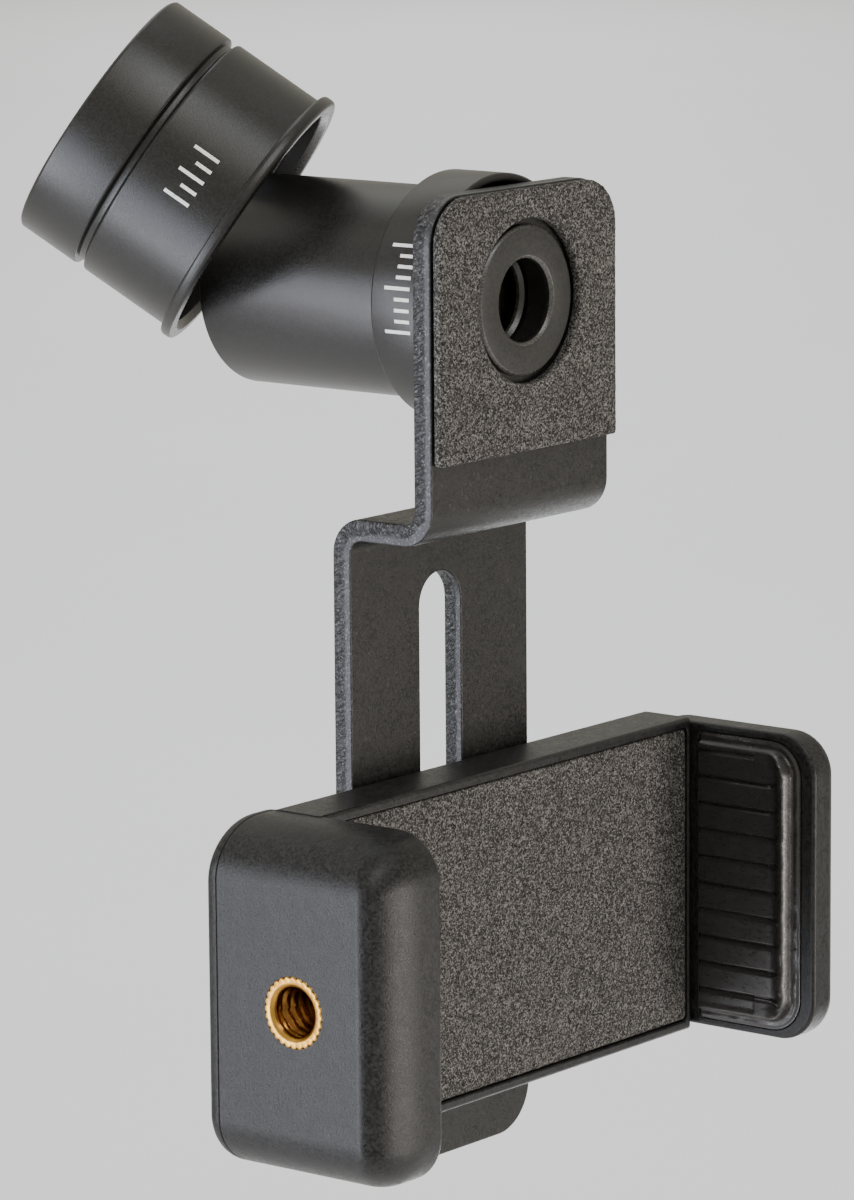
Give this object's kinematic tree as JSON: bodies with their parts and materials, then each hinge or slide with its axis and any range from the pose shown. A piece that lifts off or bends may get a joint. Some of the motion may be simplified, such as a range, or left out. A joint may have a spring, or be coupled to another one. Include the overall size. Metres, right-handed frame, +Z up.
{
  "type": "microscope phone adapter",
  "caption": "Microscope eyepiece on a Z-shaped slotted bracket, with a sprung phone clamp on a thumb screw and a flanged adapter sleeve resting at an angle on its barrel.",
  "frame": {"origin": "centre of the eyepiece head's rear shoulder, on the optical axis: the plane that rests on a microscope's tube", "axes": "+Y along the barrel, away from the phone; +Z up, along the bracket's leg towards the eyepiece; +X from the fixed jaw towards the sprung jaw"},
  "size_m": [0.0834, 0.0723, 0.1274],
  "materials": {
    "bracket_paint": "satin black powder coat on bent steel sheet",
    "eyepiece_black": "black anodised, fine turned satin",
    "sleeve_black": "black anodised, fine turned satin",
    "optical_glass": "polished, coated",
    "pad_foam": "closed-cell foam with a fine open grain",
    "clamp_plastic": "moulded, soft satin",
    "jaw_rubber": "moulded, slightly glossy",
    "insert_brass": "machined, bright",
    "knob_plastic": "moulded, fine grain",
    "bright_steel": "plated, bright"
  },
  "bodies": {
    "eyepiece": {"z_bracket": "bracket_paint", "plate_foam_pad": "pad_foam", "lock_ring": "eyepiece_black", "eyepiece_head": "eyepiece_black", "eyepiece_barrel": "eyepiece_black", "eye_lens_retainer": "eyepiece_black", "eye_lens": "optical_glass", "eye_lens_spacer": "eyepiece_black", "front_tube": "eyepiece_black", "field_stop": "eyepiece_black", "rear_tube": "eyepiece_black", "field_lens": "optical_glass", "field_lens_retainer": "eyepiece_black"},
    "sleeve": {"adapter_sleeve": "sleeve_black"},
    "carrier": {"screw_washer": "bright_steel"},
    "knob": {"thumb_knob": "knob_plastic", "knob_stud": "bright_steel"},
    "clamp": {"clamp_body": "clamp_plastic", "back_cover": "clamp_plastic", "cover_screw_1": "bright_steel", "cover_screw_2": "bright_steel", "cover_screw_3": "bright_steel", "cover_screw_4": "bright_steel", "side_insert": "insert_brass", "back_insert": "insert_brass", "clamp_foam_pad": "pad_foam", "fixed_jaw_pad": "jaw_rubber", "jaw_spring_upper": "bright_steel", "jaw_spring_lower": "bright_steel"},
    "jaw": {"moving_jaw": "clamp_plastic", "moving_jaw_pad": "jaw_rubber", "guide_rod_upper": "bright_steel", "guide_rod_lower": "bright_steel", "rod_clip_upper": "bright_steel", "rod_clip_lower": "bright_steel"}
  },
  "joints": [
    {"name": "clamp_height", "type": "slide", "parent": "eyepiece", "child": "carrier", "axis": [0, 0, 1], "range_m": [-0.013, 0.021]},
    {"name": "clamp_turn", "type": "hinge", "parent": "carrier", "child": "clamp", "pos_m": [0, 0.00095, -0.0704], "axis": [0, 1, 0], "range_deg": [-15, 15]},
    {"name": "knob_turn", "type": "hinge", "parent": "carrier", "child": "knob", "pos_m": [0, 0.0052, -0.0704], "axis": [0, 1, 0], "continuous": true},
    {"name": "jaw_slide", "type": "slide", "parent": "clamp", "child": "jaw", "axis": [1, 0, 0], "range_m": [0, 0.024], "stiffness_N_per_m": 200, "springref_m": -0.02, "deforming": ["jaw_spring_upper", "jaw_spring_lower"]},
    {"name": "sleeve_lift", "type": "slide", "parent": "eyepiece", "child": "sleeve", "axis": [-0.3911, 0.7266, 0.5649], "range_m": [0, 0.02]}
  ]
}
